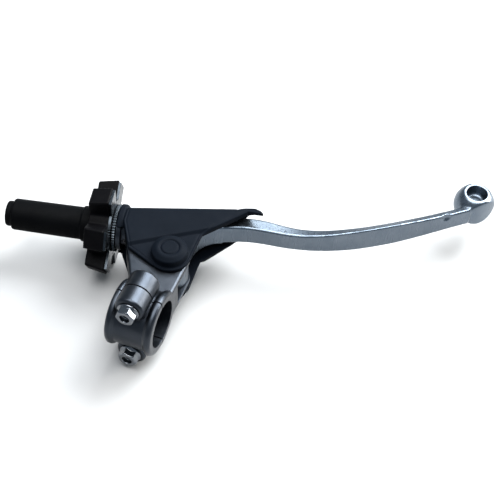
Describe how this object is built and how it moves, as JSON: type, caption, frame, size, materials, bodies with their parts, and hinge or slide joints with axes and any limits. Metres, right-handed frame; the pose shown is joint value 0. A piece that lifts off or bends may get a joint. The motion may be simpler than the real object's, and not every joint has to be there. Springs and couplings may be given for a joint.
{
  "type": "clutch lever",
  "caption": "Cable clutch lever with split handlebar clamp, ball-ended blade, rubber dust cover and star wheel cable adjuster with boot.",
  "frame": {"origin": "centre of the handlebar seat, in the plane of the two clamp bolts", "axes": "+X along the handlebar towards the lever's ball end, +Y forward from the bar to the lever, +Z along the pivot axis towards the head of the pivot bolt"},
  "size_m": [0.22, 0.1523, 0.0448],
  "materials": {
    "cast_alloy": "satin grey cast aluminium",
    "zinc_steel": "bright zinc plated",
    "nylon": "plain",
    "bronze": "machined bronze",
    "forged_alloy": "forged, ground and polished",
    "machined_alloy": "machined",
    "bearing_steel": "polished",
    "moulded_black": "moulded, satin",
    "brass": "machined",
    "seal_rubber": "smooth",
    "black_steel": "black oxide",
    "boot_rubber": "matt moulded",
    "cover_rubber": "matt moulded"
  },
  "bodies": {
    "perch": {"perch_body": "cast_alloy", "clamp_cap": "cast_alloy", "clamp_bolts": "zinc_steel", "pivot_bolt": "zinc_steel", "pivot_washer": "zinc_steel", "pivot_nut": "zinc_steel", "pivot_nut_insert": "nylon", "dust_cover": "cover_rubber", "detent_ring": "machined_alloy", "detent_balls": "bearing_steel", "detent_springs": "bearing_steel", "retaining_screw": "black_steel"},
    "lever": {"lever_blade": "forged_alloy", "pivot_bush": "bronze", "thrust_washers": "zinc_steel"},
    "star_wheel": {"adjuster_wheel": "moulded_black", "wheel_star_plate": "machined_alloy", "wheel_sleeve": "brass", "sleeve_seal": "seal_rubber"},
    "cable_stop": {"cable_barrel": "machined_alloy", "cable_boot": "boot_rubber"}
  },
  "joints": [
    {"name": "lever_pull", "type": "hinge", "parent": "perch", "child": "lever", "pos_m": [0.0022, 0.031, 0], "axis": [0, 0, -1], "range_deg": [0, 35]},
    {"name": "wheel_turn", "type": "hinge", "parent": "perch", "child": "star_wheel", "pos_m": [-0.03721, 0.04313, 0], "axis": [-0.9779, -0.2089, 0], "range_deg": [0, 1440]},
    {"name": "barrel_slide", "type": "slide", "parent": "perch", "child": "cable_stop", "axis": [-0.9779, -0.2089, 0], "range_m": [0, 0.005]}
  ],
  "couplings": [
    {"joint": "barrel_slide", "follows": "wheel_turn", "m_per_rad": 0.00019894}
  ]
}
